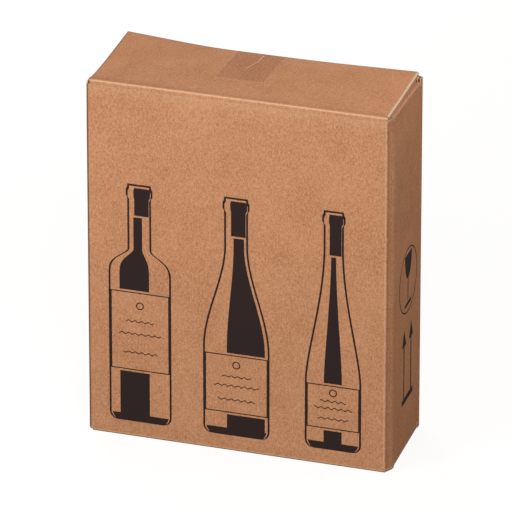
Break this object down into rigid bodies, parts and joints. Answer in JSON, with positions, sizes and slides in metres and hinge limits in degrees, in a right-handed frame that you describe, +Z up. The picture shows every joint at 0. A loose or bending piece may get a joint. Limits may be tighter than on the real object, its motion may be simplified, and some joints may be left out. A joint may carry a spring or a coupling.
{
  "type": "bottle shipping box",
  "caption": "Tall corrugated board carton for a row of wine bottles, with a full-depth lid taped down at the back and a folded board fitting inside",
  "frame": {"origin": "middle of the bottom, on the surface that the box stands on", "axes": "+Z up, +X to the right along the row of bottles seen from the front, -Y to the front"},
  "size_m": [0.3128, 0.1162, 0.3906],
  "materials": {
    "kraft_board": "matt brown kraft liner with dark print",
    "clear_tape": "clear glossy film"
  },
  "bodies": {
    "root": {"carton": "kraft_board", "base_tray": "kraft_board", "neck_tray": "kraft_board", "divider_1": "kraft_board", "divider_2": "kraft_board", "closing_tape": "clear_tape"}
  },
  "joints": []
}
